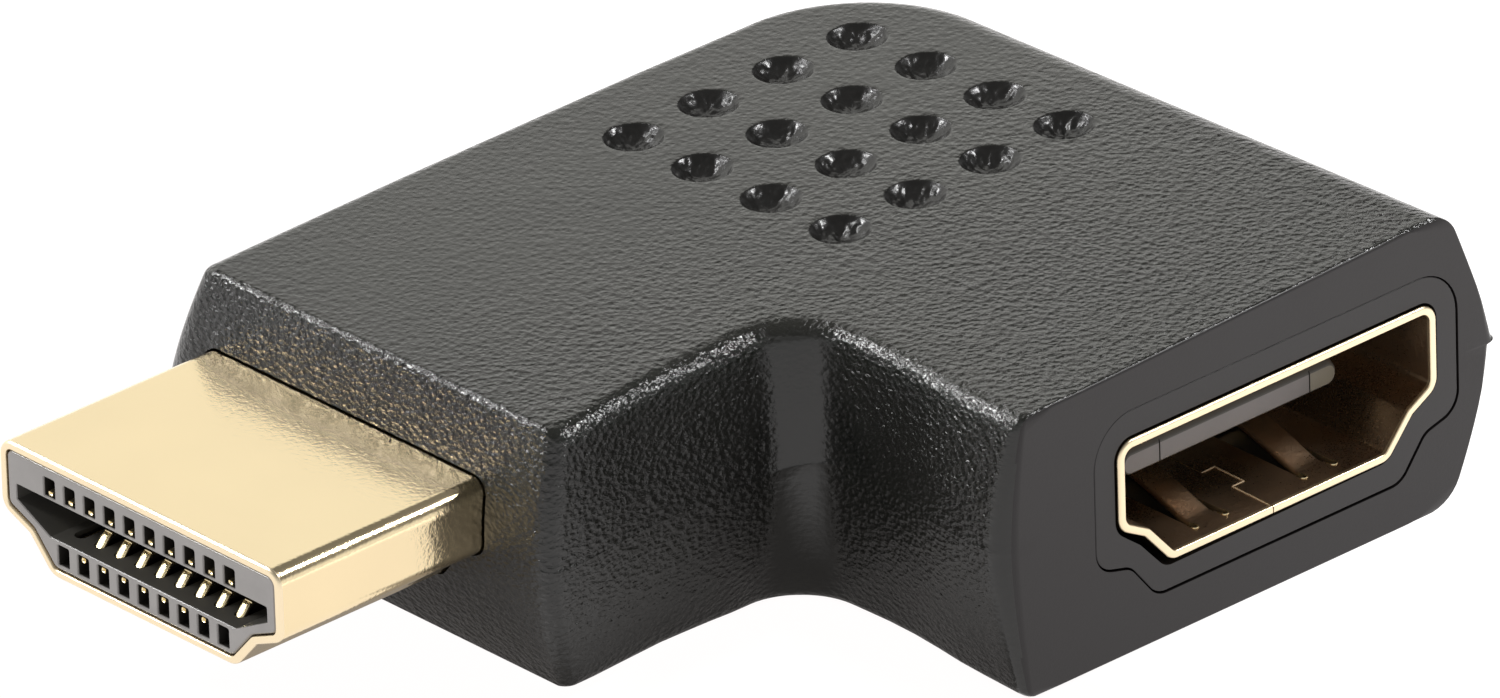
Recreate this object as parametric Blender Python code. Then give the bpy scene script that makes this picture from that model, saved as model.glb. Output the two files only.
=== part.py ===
"""Right angle adapter with a flat 19-contact plug on one arm and the matching socket on the other.

Design frame, in millimetres: the plug's front face is centred on (0, 0, 0) and the plug points along -Y.
The socket opens along +X.  Z is up, and the wide side of both connectors is the upper one.
Every object is then moved by SHIFT, so that the origin is the centre of the underside.
"""
import math

import bmesh
import bpy
from mathutils import Matrix, Vector

MM = 0.001

# ---------------------------------------------------------------- driving dimensions (mm)
# overmoulded body, at the height of its parting line
BODY_LEFT = -9.9          # outer wall of the plug arm
BODY_INNER_X = 9.7        # inner wall of the plug arm
BODY_PLUG_END = 9.4       # shoulder that the plug comes out of
BODY_INNER_Y = 20.3       # inner wall of the socket arm
BODY_BACK = 42.5          # outer wall of the socket arm
BODY_FACE = 20.5          # flat face round the socket
BODY_BOTTOM = -5.4
TOP_Z, TOP_DX, TOP_DY = 4.48, 0.020, 0.014   # top plane: z = TOP_Z + TOP_DX * x + TOP_DY * y
ARM_TAPER_Y, ARM_TAPER_RISE = 18.2, 0.42     # the underside of the plug arm rises towards the plug
ELBOW_R = 8.4

# dimples on the elbow
DIMPLE_X, DIMPLE_Y, DIMPLE_PITCH = -4.37, 36.55, 3.425
DIMPLE_R, DIMPLE_DEPTH = 1.05, 0.5

# plug
PLUG_IN_TOP, PLUG_IN_BOTTOM, PLUG_IN_HALF = 1.925, -1.82, 6.65
SHEET = 0.3
PLUG_SHELL_END = 13.5
PLUG_INS_FRONT, PLUG_INS_END = 0.06, 11.2
PLUG_GAP = 0.12
CONTACTS_TOP = [-4.5 + i for i in range(10)]
CONTACTS_BOTTOM = [-4.0 + i for i in range(9)]

# socket
RIM_X = 20.62             # front of the socket's rim
SOCKET_Y = 32.4           # middle of the socket
SOCKET_DEPTH = 10.2
TONGUE_RECESS = 2.4
BASE_FRONT, BASE_BACK = 7.0, 9.0
TONGUE_HALF, TONGUE_TOP, TONGUE_BOTTOM = 4.9, 0.68, -0.42

# inside
CORE_HALF = 3.2
BOARD_HALF = 0.5
GAP = 0.06
CORE_GAP = 0.08

SHIFT = Vector((-(BODY_LEFT + RIM_X) / 2, -BODY_BACK / 2, -BODY_BOTTOM)) * MM

# ---------------------------------------------------------------- clean scene, collections, materials
for old in list(bpy.data.objects):
    bpy.data.objects.remove(old, do_unlink=True)


def collection(name):
    c = bpy.data.collections.new(name)
    bpy.context.scene.collection.children.link(c)
    return c


PARTS = collection("right_angle_adapter")
CUTTERS = collection("cutters")


def material(name, rgb, rough, metal):
    m = bpy.data.materials.new(name)
    m.use_nodes = True
    b = m.node_tree.nodes["Principled BSDF"]
    b.inputs["Base Color"].default_value = (*rgb, 1)
    b.inputs["Roughness"].default_value = rough
    b.inputs["Metallic"].default_value = metal
    return m


# object axes for an outline drawn in its own XY plane and thickened along its own Z
ALONG_Y = Matrix(((1, 0, 0), (0, 0, -1), (0, 1, 0)))    # outline (x, z), thickness along y
ALONG_X = Matrix(((0, 0, 1), (1, 0, 0), (0, 1, 0)))     # outline (y, z), thickness along x
ALONG_Z = Matrix.Identity(3)                            # outline (x, y), thickness along z


# ---------------------------------------------------------------- outlines
def rounded(corners, segments=4):
    """Corner points (x, y, radius) in order round the outline -> points with the corners as arcs."""
    out = []
    n = len(corners)
    for i, (x, y, r) in enumerate(corners):
        p = Vector((x, y))
        a = (Vector(corners[i - 1][:2]) - p).normalized()
        b = (Vector(corners[(i + 1) % n][:2]) - p).normalized()
        if r <= 0:
            out.append((x, y))
            continue
        half = a.angle(b) / 2
        t = r / math.tan(half)
        centre = p + (a + b).normalized() * (r / math.sin(half))
        s, e = p + a * t - centre, p + b * t - centre
        turn = s.angle_signed(e)            # positive is clockwise
        for k in range(segments + 1):
            q = s.copy()
            ang = -turn * k / segments
            q = Vector((s.x * math.cos(ang) - s.y * math.sin(ang), s.x * math.sin(ang) + s.y * math.cos(ang)))
            out.append((centre.x + q.x, centre.y + q.y))
    return out


def grown(corners, d):
    """The same outline (counter-clockwise) with every side moved outwards by d."""
    n = len(corners)
    out = []
    for i, (x, y, r) in enumerate(corners):
        p = Vector((x, y))
        d1 = (p - Vector(corners[i - 1][:2])).normalized()
        d2 = (Vector(corners[(i + 1) % n][:2]) - p).normalized()
        n1, n2 = Vector((d1.y, -d1.x)), Vector((d2.y, -d2.x))
        m = (n1 + n2) / (1 + n1.dot(n2))
        convex = d1.x * d2.y - d1.y * d2.x > 0
        out.append((x + m.x * d, y + m.y * d, max(0.05, r + d if convex else r - d) if r > 0 else 0))
    return out


def stepped(half, top, bottom, step_half, step_top, step_low, foot_half, r_top, r_side, r_step, r_foot):
    """The connector outline: straight top and sides, then a step inwards to a narrower foot."""
    return [
        (half, top, r_top), (-half, top, r_top), (-half, step_top, r_side), (-step_half, step_low, r_step),
        (-foot_half, bottom, r_foot), (foot_half, bottom, r_foot), (step_half, step_low, r_step), (half, step_top, r_side),
    ]


PLUG_IN = stepped(PLUG_IN_HALF, PLUG_IN_TOP, PLUG_IN_BOTTOM, 5.45, -0.15, -0.68, 4.45, 0.35, 0.3, 0.35, 0.3)
SOCKET_IN = stepped(7.0, 2.275, -2.275, 5.95, -0.45, -1.02, 4.85, 0.35, 0.35, 0.45, 0.35)
BEZEL = stepped(8.3, 3.95, -3.65, 6.75, -1.8, -2.2, 5.6, 1.6, 0.9, 0.8, 0.9)


# ---------------------------------------------------------------- solids
def finish_mesh(me, name):
    bm = bmesh.new()
    bm.from_mesh(me)
    bmesh.ops.remove_doubles(bm, verts=bm.verts, dist=1e-7)
    bmesh.ops.recalc_face_normals(bm, faces=bm.faces)
    bm.to_mesh(me)
    bm.free()
    me.name = name
    return me


def outline_mesh(name, loops, thickness):
    """A flat outline, with any inner loops as holes, thickened equally to both sides."""
    cu = bpy.data.curves.new(name, "CURVE")
    cu.dimensions = "2D"
    cu.fill_mode = "BOTH"
    cu.extrude = thickness * MM / 2
    for loop in loops:
        sp = cu.splines.new("POLY")
        sp.points.add(len(loop) - 1)
        for p, (x, y) in zip(sp.points, loop):
            p.co = (x * MM, y * MM, 0, 1)
        sp.use_cyclic_u = True
    tmp = bpy.data.objects.new(name + "_outline", cu)
    CUTTERS.objects.link(tmp)
    bpy.context.view_layer.update()
    me = bpy.data.meshes.new_from_object(tmp.evaluated_get(bpy.context.evaluated_depsgraph_get()))
    bpy.data.objects.remove(tmp)
    return finish_mesh(me, name)


def place(name, me, turn=ALONG_Z, at=(0, 0, 0), mat=None, group=None):
    ob = bpy.data.objects.new(name, me)
    (group or PARTS).objects.link(ob)
    ob.matrix_world = Matrix.Translation(SHIFT + Vector(at) * MM) @ turn.to_4x4()
    if mat is not None:
        ob.data.materials.clear()
        ob.data.materials.append(mat)
    return ob


def prism(name, loops, turn, lo, hi, mat=None, group=None, at=(0, 0, 0)):
    """The outline thickened from lo to hi along the axis that turn gives it."""
    me = outline_mesh(name, loops, hi - lo)
    axis = turn @ Vector((0, 0, 1))
    sign = axis.x + axis.y + axis.z
    mid = axis * ((lo + hi) / 2 * sign)
    return place(name, me, turn, Vector(at) + mid, mat, group)


def hide(ob):
    ob.hide_render = True
    ob.display_type = "WIRE"
    return ob


def cutter(name, loops, turn, lo, hi, at=(0, 0, 0)):
    return hide(prism(name, loops, turn, lo, hi, group=CUTTERS, at=at))


def boolean(ob, other, operation="DIFFERENCE"):
    m = ob.modifiers.new(operation.lower() + "_" + other.name, "BOOLEAN")
    m.object = other
    m.operation = operation
    m.solver = "EXACT"


def rect(x0, y0, x1, y1):
    return [(x0, y0), (x1, y0), (x1, y1), (x0, y1)]


def repeated(name, me, places):
    """One cutter made of equal bodies that stand clear of each other."""
    bm = bmesh.new()
    for p in places:
        one = me.copy()
        one.transform(Matrix.Translation(Vector(p) * MM))
        bm.from_mesh(one)
        bpy.data.meshes.remove(one)
    out = bpy.data.meshes.new(name)
    bm.to_mesh(out)
    bm.free()
    return out


# ---------------------------------------------------------------- overmoulded body
def top_at(x, y):
    return TOP_Z + TOP_DX * x + TOP_DY * y


def bottom_at(x, y):
    return BODY_BOTTOM + max(0.0, (ARM_TAPER_Y - y) / (ARM_TAPER_Y - BODY_PLUG_END)) * ARM_TAPER_RISE


# walls in order: plug shoulder, inner side of the plug arm, inner side of the socket arm, socket face, back, outer side
LEAN_UP = [0.60, 0.20, 0.80, 0.0, 2.35, 1.80]       # how far each wall leans in from the parting line to the top
LEAN_DOWN = [0.60, 0.20, 0.80, 0.0, 2.15, 1.80]
EDGE_UP = [0.35, 0.80, 0.80, 0.10, 0.70, 0.70]      # edge radius between each wall and the top
EDGE_DOWN = [0.30, 0.35, 0.35, 0.08, 1.50, 0.60]
WALL_HEIGHT_UP = [4.65, 4.8, 5.0, 5.2, 5.3, 4.7]
WALL_HEIGHT_DOWN = [5.0, 5.2, 5.4, 5.4, 5.4, 5.3]
# corners: x side, y side, radius, segments; corner i is between walls i-1 and i
CORNERS = [
    (BODY_LEFT, BODY_PLUG_END, 0.9, 4), (BODY_INNER_X, BODY_PLUG_END, 0.6, 3), (BODY_INNER_X, BODY_INNER_Y, -2.6, 8),
    (BODY_FACE, BODY_INNER_Y, 0.8, 4), (BODY_FACE, BODY_BACK, 0.35, 2), (BODY_LEFT, BODY_BACK, ELBOW_R, 12),
]
INWARD = [Vector((0, 1)), Vector((-1, 0)), Vector((0, 1)), Vector((-1, 0)), Vector((0, -1)), Vector((1, 0))]


def section(inset, drop, height):
    """One closed ring round the body: every wall moved in by its inset, at its own drop below the cap."""
    ring = []
    for i, (cx, cy, r, seg) in enumerate(CORNERS):
        w0, w1 = (i - 1) % 6, i
        p = Vector((cx, cy)) + INWARD[w0] * inset[w0] + INWARD[w1] * inset[w1]
        concave = r < 0
        rad = abs(r) + (1 if concave else -1) * (inset[w0] + inset[w1]) / 2
        rad = max(rad, 0.12)
        a = -INWARD[w1] if concave else INWARD[w1]      # along the wall before the corner, away from it
        b = -INWARD[w0] if concave else INWARD[w0]
        centre = p + (a + b) * rad
        for k in range(seg + 1):
            t = k / seg * math.pi / 2
            q = centre - b * rad * math.cos(t) - a * rad * math.sin(t)
            f = k / seg
            ring.append((q.x, q.y, drop[w0] * (1 - f) + drop[w1] * f, height))
        if i == 5:      # a point on the outer wall, level with the start of the arm's taper
            ring.append((BODY_LEFT + inset[5], ARM_TAPER_Y, drop[5], height))
    return ring


def ring_levels(lean, heights, edges, steps, up):
    """Rings from just off the parting line to the cap, following each wall's lean and then its edge radius."""
    rings = []
    for k in range(steps + 1):
        inset, drop = [], []
        for ln, h, r in zip(lean, heights, edges):
            s = ln / h
            phi = math.atan(s)
            c = s * (h - r) + r / math.cos(phi)
            th = phi + (math.pi / 2 - phi) * k / steps
            inset.append(c - r * math.cos(th))
            drop.append(r * (1 - math.sin(th)))
        rings.append(section(inset, drop, up))
    return rings


def body_mesh():
    bm = bmesh.new()
    rings = []
    lower = ring_levels(LEAN_DOWN, WALL_HEIGHT_DOWN, EDGE_DOWN, 2, False)
    upper = ring_levels(LEAN_UP, WALL_HEIGHT_UP, EDGE_UP, 3, True)
    for ring in reversed(lower):
        rings.append([bm.verts.new((x * MM, y * MM, (bottom_at(x, y) + d) * MM)) for x, y, d, _ in ring])
    rings.append([bm.verts.new((x * MM, y * MM, 0)) for x, y, _, _ in section([0] * 6, [0] * 6, None)])
    for ring in upper:
        rings.append([bm.verts.new((x * MM, y * MM, (top_at(x, y) - d) * MM)) for x, y, d, _ in ring])
    n = len(rings[0])
    for lo, hi in zip(rings, rings[1:]):
        for i in range(n):
            j = (i + 1) % n
            bm.faces.new((lo[i], lo[j], hi[j], hi[i]))
    bm.faces.new(rings[-1])
    # the underside is two flat faces: the tapered plug arm and the rest
    base = rings[0]
    crease = n - 1                                      # the outer wall's extra point
    start = sum(c[3] + 1 for c in CORNERS[:2])          # first point of the inner fillet
    bm.faces.new([base[crease]] + [base[i] for i in range(start, -1, -1)])
    bm.faces.new([base[i] for i in range(crease, start - 1, -1)])
    bmesh.ops.recalc_face_normals(bm, faces=bm.faces)
    me = bpy.data.meshes.new("overmould")
    bm.to_mesh(me)
    bm.free()
    return me


black = material("overmould_black", (0.018, 0.018, 0.018), 0.45, 0)
black_smooth = material("bezel_black", (0.022, 0.021, 0.021), 0.55, 0)
gold = material("gold_plate", (0.90, 0.70, 0.36), 0.25, 1)
grey = material("insulator_grey", (0.30, 0.30, 0.31), 0.5, 0)
contact_gold = material("contact_gold", (0.95, 0.72, 0.30), 0.2, 1)
board_green = material("board_green", (0.03, 0.14, 0.06), 0.5, 0)

overmould = place("overmould", body_mesh(), mat=black)

# core: an L-shaped slab inside the arms, and the stepped block whose end shows as the socket's bezel
CORE_ARM = [(-7.3, 12.0, 0), (7.3, 12.0, 0), (7.3, 24.6, 0), (8.6, 24.6, 0), (8.6, 40.2, 0), (1.8, 40.2, 0), (-7.3, 31.3, 0)]
BEZEL_START = 8.1
at_socket = (0, SOCKET_Y, 0)

boolean(overmould, cutter("cut_core_arm", [rounded(grown(CORE_ARM, CORE_GAP))], ALONG_Z, -CORE_HALF - CORE_GAP, CORE_HALF + CORE_GAP))
boolean(overmould, cutter("cut_core_socket", [rounded(grown(BEZEL, CORE_GAP), 5)], ALONG_X, BEZEL_START - CORE_GAP, BODY_FACE + 2, at_socket))
boolean(overmould, cutter("cut_plug_hole", [rounded(grown(PLUG_IN, SHEET + PLUG_GAP), 3)], ALONG_Y, BODY_PLUG_END - 2, 12.3))

# dimples: spheres sunk into the top
ball_r = (DIMPLE_R ** 2 + DIMPLE_DEPTH ** 2) / (2 * DIMPLE_DEPTH)
bm = bmesh.new()
bmesh.ops.create_uvsphere(bm, u_segments=16, v_segments=14, radius=ball_r * MM)
ball = bpy.data.meshes.new("ball")
bm.to_mesh(ball)
bm.free()
spots = []
for i in range(4):
    for j in range(4):
        x, y = DIMPLE_X + i * DIMPLE_PITCH, DIMPLE_Y - j * DIMPLE_PITCH
        spots.append((x, y, top_at(x, y) + ball_r - DIMPLE_DEPTH))
boolean(overmould, hide(place("cut_dimples", repeated("cut_dimples", ball, spots), group=CUTTERS)))

# inner mould
inner = prism("inner_mould", [rounded(CORE_ARM)], ALONG_Z, -CORE_HALF, CORE_HALF, black_smooth)
boolean(inner, cutter("add_bezel_block", [rounded(BEZEL, 5)], ALONG_X, BEZEL_START, BODY_FACE, at_socket), "UNION")
boolean(inner, cutter("cut_inner_plug", [rounded(grown(PLUG_IN, SHEET + GAP), 3)], ALONG_Y, 11, PLUG_SHELL_END + GAP))
boolean(inner, cutter("cut_inner_socket", [rounded(grown(SOCKET_IN, SHEET + 0.12), 3)], ALONG_X,
                      RIM_X - SOCKET_DEPTH - GAP, RIM_X + 2, at_socket))

# ---------------------------------------------------------------- circuit board
BOARD = [(-5.2, 11.9, 0), (5.2, 11.9, 0), (5.2, 13.7, 0), (6.2, 14.2, 0), (6.2, SOCKET_Y - 6.4, 0), (11.3, SOCKET_Y - 6.4, 0),
         (11.3, SOCKET_Y + 6.4, 0), (2.2, SOCKET_Y + 6.4, 0), (-6.2, 30.6, 0), (-6.2, 14.2, 0), (-5.2, 13.7, 0)]
board = prism("circuit_board", [rounded(BOARD)], ALONG_Z, -BOARD_HALF, BOARD_HALF, board_green)
boolean(inner, cutter("cut_inner_board", [rounded(grown(BOARD, GAP))], ALONG_Z, -BOARD_HALF - GAP, BOARD_HALF + GAP))
boolean(inner, cutter("cut_inner_plug_tails", [rect(-4.95, 13.0, 4.95, 14.1)], ALONG_Z, -0.95, 0.95))
boolean(inner, cutter("cut_inner_socket_tails", [rect(9.3, SOCKET_Y - 4.95, 10.9, SOCKET_Y + 4.95)], ALONG_Z, -0.95, 0.95))

# ---------------------------------------------------------------- plug
prism("plug_shell", [rounded(grown(PLUG_IN, SHEET), 4), rounded(PLUG_IN, 4)], ALONG_Y, 0, PLUG_SHELL_END, gold)

plug_ins = prism("plug_insulator", [rounded(grown(PLUG_IN, -0.05), 4)], ALONG_Y, PLUG_INS_FRONT, PLUG_INS_END, grey)
pocket = [(6.2, 0.78), (-6.2, 0.78), (-6.2, 0.17), (-4.8, -0.55), (4.8, -0.55), (6.2, 0.17)]
boolean(plug_ins, cutter("cut_plug_pocket", [pocket], ALONG_Y, -1, 6.6))
PLUG_FRONT_WEB = 0.55
channel_top = [(-1, 0.88), (PLUG_FRONT_WEB, 0.88), (PLUG_FRONT_WEB, 0.5), (6.2, 0.5), (6.2, 0.91), (12, 0.91), (12, 1.52), (-1, 1.52)]
channel_bottom = [(-1, -1.56), (12, -1.56), (12, -0.90), (6.2, -0.90), (6.2, -0.3), (PLUG_FRONT_WEB, -0.3),
                  (PLUG_FRONT_WEB, -0.87), (-1, -0.87)]
top_cut = outline_mesh("plug_channel_top", [channel_top], 0.53)
bottom_cut = outline_mesh("plug_channel_bottom", [channel_bottom], 0.53)
for label, me, xs in (("top", top_cut, CONTACTS_TOP), ("bottom", bottom_cut, CONTACTS_BOTTOM)):
    boolean(plug_ins, hide(place("cut_plug_channels_" + label, repeated("cut_plug_channels_" + label, me, [(0, 0, x) for x in xs]),
                                 ALONG_X, group=CUTTERS)))


def strip(points, thickness):
    """Outline of a bent strip from the line along its middle."""
    left, right = [], []
    pts = [Vector(p) for p in points]
    for i, p in enumerate(pts):
        d1 = (p - pts[i - 1]).normalized() if i else (pts[1] - p).normalized()
        d2 = (pts[i + 1] - p).normalized() if i < len(pts) - 1 else d1
        n1, n2 = Vector((-d1.y, d1.x)), Vector((-d2.y, d2.x))
        m = (n1 + n2) / (1 + n1.dot(n2)) * thickness / 2
        left.append(tuple(p + m))
        right.append(tuple(p - m))
    return left + right[::-1]


PLUG_TOP_LINE = [(0.20, 1.04), (0.72, 1.04), (1.22, 0.66), (1.65, 0.64), (4.6, 1.06), (6.5, 1.2), (11.5, 1.2), (12.2, 0.70), (13.9, 0.70)]
PLUG_BOTTOM_LINE = [(0.20, -1.02), (0.66, -1.00), (1.22, -0.42), (1.65, -0.40), (4.6, -1.02), (6.5, -1.2), (11.5, -1.2), (12.2, -0.70), (13.9, -0.70)]
top_strip = outline_mesh("plug_contact_upper", [strip(PLUG_TOP_LINE, 0.2)], 0.38)
bottom_strip = outline_mesh("plug_contact_lower", [strip(PLUG_BOTTOM_LINE, 0.2)], 0.38)
for i, x in enumerate(CONTACTS_TOP):
    place(f"plug_contact_{2 * i + 1:02d}", top_strip, ALONG_X, (x, 0, 0), contact_gold)
for i, x in enumerate(CONTACTS_BOTTOM):
    place(f"plug_contact_{2 * i + 2:02d}", bottom_strip, ALONG_X, (x, 0, 0), contact_gold)

# ---------------------------------------------------------------- socket
socket_shell = prism("socket_shell", [rounded(grown(SOCKET_IN, SHEET), 4), rounded(SOCKET_IN, 4)], ALONG_X,
                     RIM_X - SOCKET_DEPTH, RIM_X, gold, at=at_socket)
# two spring fingers in the lower wall, each freed by a U-shaped slot
finger_slots = []
for side in (-2.5, 2.5):
    y0, y1 = SOCKET_Y + side - 0.9, SOCKET_Y + side + 0.9
    xa, xb, w = RIM_X - 0.75, RIM_X - 5.6, 0.22
    u_slot = [(xa, y0), (xa, y0 + w), (xb + w, y0 + w), (xb + w, y1 - w), (xa, y1 - w), (xa, y1), (xb, y1), (xb, y0)]
    boolean(socket_shell, cutter("cut_finger_" + ("a" if side < 0 else "b"), [u_slot], ALONG_Z, -2.9, -2.0))

socket_ins = prism("socket_insulator", [rounded(grown(SOCKET_IN, -0.05), 4)], ALONG_X, RIM_X - BASE_BACK, RIM_X - BASE_FRONT, grey,
                   at=at_socket)
tongue = [(TONGUE_HALF, TONGUE_TOP, 0.5), (-TONGUE_HALF, TONGUE_TOP, 0.5), (-TONGUE_HALF, TONGUE_BOTTOM, 0.5), (TONGUE_HALF, TONGUE_BOTTOM, 0.5)]
boolean(socket_ins, cutter("add_tongue", [rounded(tongue, 3)], ALONG_X, RIM_X - BASE_FRONT - 0.5, RIM_X - TONGUE_RECESS, at_socket), "UNION")
groove_start = RIM_X - TONGUE_RECESS - 0.4
groove_top = outline_mesh("groove_top", [rect(RIM_X - 10, 0.44, groove_start, 1.1)], 0.5)
groove_bottom = outline_mesh("groove_bottom", [rect(RIM_X - 10, -0.84, groove_start, -0.18)], 0.5)
for label, me, ys in (("top", groove_top, CONTACTS_TOP), ("bottom", groove_bottom, CONTACTS_BOTTOM)):
    boolean(socket_ins, hide(place("cut_socket_grooves_" + label, repeated("cut_socket_grooves_" + label, me, [(0, 0, -y) for y in ys]),
                                   ALONG_Y, at_socket, group=CUTTERS)))

tip = groove_start - 0.06
back = RIM_X - BASE_BACK
SOCKET_TOP_LINE = [(tip, 0.575), (back - 0.1, 0.575), (back - 0.4, 0.70), (9.5, 0.70)]
SOCKET_BOTTOM_LINE = [(tip, -0.315), (back + 0.0, -0.315), (back - 0.15, -0.70), (9.5, -0.70)]
upper = outline_mesh("socket_contact_upper", [strip(SOCKET_TOP_LINE, 0.15)], 0.38)
lower = outline_mesh("socket_contact_lower", [strip(SOCKET_BOTTOM_LINE, 0.15)], 0.38)
for i, y in enumerate(CONTACTS_TOP):
    place(f"socket_contact_{2 * i + 1:02d}", upper, ALONG_Y, (0, SOCKET_Y + y, 0), contact_gold)
for i, y in enumerate(CONTACTS_BOTTOM):
    place(f"socket_contact_{2 * i + 2:02d}", lower, ALONG_Y, (0, SOCKET_Y + y, 0), contact_gold)

# ---------------------------------------------------------------- smooth shading on the round parts
for ob in PARTS.objects:
    ob.data.shade_smooth()
    ob.data.set_sharp_from_angle(angle=math.radians(30))
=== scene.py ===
"""Looks of the right angle video adapter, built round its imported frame.

Shapes are worked out in the design frame of the part, in millimetres: the plug's front face is centred on (0, 0, 0),
the plug points along -Y, the socket opens along +X and Z is up.  SHIFT takes them to the frame of the part, in metres.
"""
import math

import bmesh
import bpy
import numpy as np
from mathutils import Matrix, Vector, noise


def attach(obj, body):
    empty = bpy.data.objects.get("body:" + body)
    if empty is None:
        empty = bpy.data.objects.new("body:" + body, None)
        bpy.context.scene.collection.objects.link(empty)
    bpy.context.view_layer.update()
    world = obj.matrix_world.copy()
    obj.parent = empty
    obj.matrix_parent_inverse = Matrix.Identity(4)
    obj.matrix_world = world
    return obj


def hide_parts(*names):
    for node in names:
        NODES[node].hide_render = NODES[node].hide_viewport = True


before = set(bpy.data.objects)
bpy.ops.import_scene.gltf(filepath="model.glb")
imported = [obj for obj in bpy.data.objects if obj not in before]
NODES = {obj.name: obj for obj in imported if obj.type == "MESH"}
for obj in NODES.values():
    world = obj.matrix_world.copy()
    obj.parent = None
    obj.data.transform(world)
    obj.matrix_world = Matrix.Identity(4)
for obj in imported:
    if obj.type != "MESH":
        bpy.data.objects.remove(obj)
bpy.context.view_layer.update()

MM = 0.001
SHIFT = Vector((-5.36, -21.25, 5.4))
SCENE = bpy.context.scene
ASIDE = bpy.data.collections.new("aside")
SCENE.collection.children.link(ASIDE)


# =============================================================== node materials
class Nodes:
    """Small helper that makes nodes and wires them by socket name."""

    def __init__(self, name):
        self.m = bpy.data.materials.new(name)
        self.m.use_nodes = True
        self.t = self.m.node_tree
        self.b = self.t.nodes["Principled BSDF"]

    def new(self, kind, **values):
        n = self.t.nodes.new(kind)
        for k, v in values.items():
            if k in n.inputs.keys():
                self.put(v, n.inputs[k])
            else:
                setattr(n, k, v)
        return n

    def put(self, value, socket):
        if isinstance(value, bpy.types.NodeSocket):
            self.t.links.new(value, socket)
        else:
            socket.default_value = value

    def place(self, scale=(1, 1, 1)):
        c = self.new("ShaderNodeTexCoord").outputs["Object"]
        if tuple(scale) != (1, 1, 1):
            m = self.new("ShaderNodeMapping")
            self.put(c, m.inputs["Vector"])
            m.inputs["Scale"].default_value = scale
            c = m.outputs["Vector"]
        return c

    def noise(self, at, size_mm, detail=2.0, rough=0.5, distort=0.0):
        n = self.new("ShaderNodeTexNoise", Scale=1 / (size_mm * MM), Detail=detail, Roughness=rough, Distortion=distort)
        self.put(at, n.inputs["Vector"])
        return n.outputs["Fac"]

    def voronoi(self, at, size_mm, feature="F1", metric="EUCLIDEAN", smooth=None):
        n = self.new("ShaderNodeTexVoronoi", Scale=1 / (size_mm * MM))
        n.feature = feature
        if smooth is not None:
            n.inputs["Smoothness"].default_value = smooth
        self.put(at, n.inputs["Vector"])
        return n.outputs["Distance"]

    def span(self, value, a, b, lo, hi):
        n = self.new("ShaderNodeMapRange")
        n.clamp = True
        for s, v in zip(("Value", "From Min", "From Max", "To Min", "To Max"), (value, a, b, lo, hi)):
            self.put(v, n.inputs[s])
        return n.outputs["Result"]

    def math(self, op, a, b=0.0, clamp=False):
        n = self.new("ShaderNodeMath")
        n.operation = op
        n.use_clamp = clamp
        self.put(a, n.inputs[0])
        self.put(b, n.inputs[1])
        return n.outputs[0]

    def mix(self, fac, a, b):
        n = self.new("ShaderNodeMix")
        n.data_type = "RGBA"
        self.put(fac, n.inputs["Factor"])
        self.put((*a, 1) if isinstance(a, tuple) else a, n.inputs[6])
        self.put((*b, 1) if isinstance(b, tuple) else b, n.inputs[7])
        return n.outputs[2]

    def bump(self, height, distance_mm, strength=1.0, under=None):
        n = self.new("ShaderNodeBump", Strength=strength, Distance=distance_mm * MM)
        self.put(height, n.inputs["Height"])
        if under is not None:
            self.put(under, n.inputs["Normal"])
        return n.outputs["Normal"]

    def out(self, **values):
        for k, v in values.items():
            k = k.replace("_", " ")
            if k == "Base Color" and isinstance(v, tuple):
                v = (*v, 1)
            self.put(v, self.b.inputs[k])
        return self.m


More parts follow.
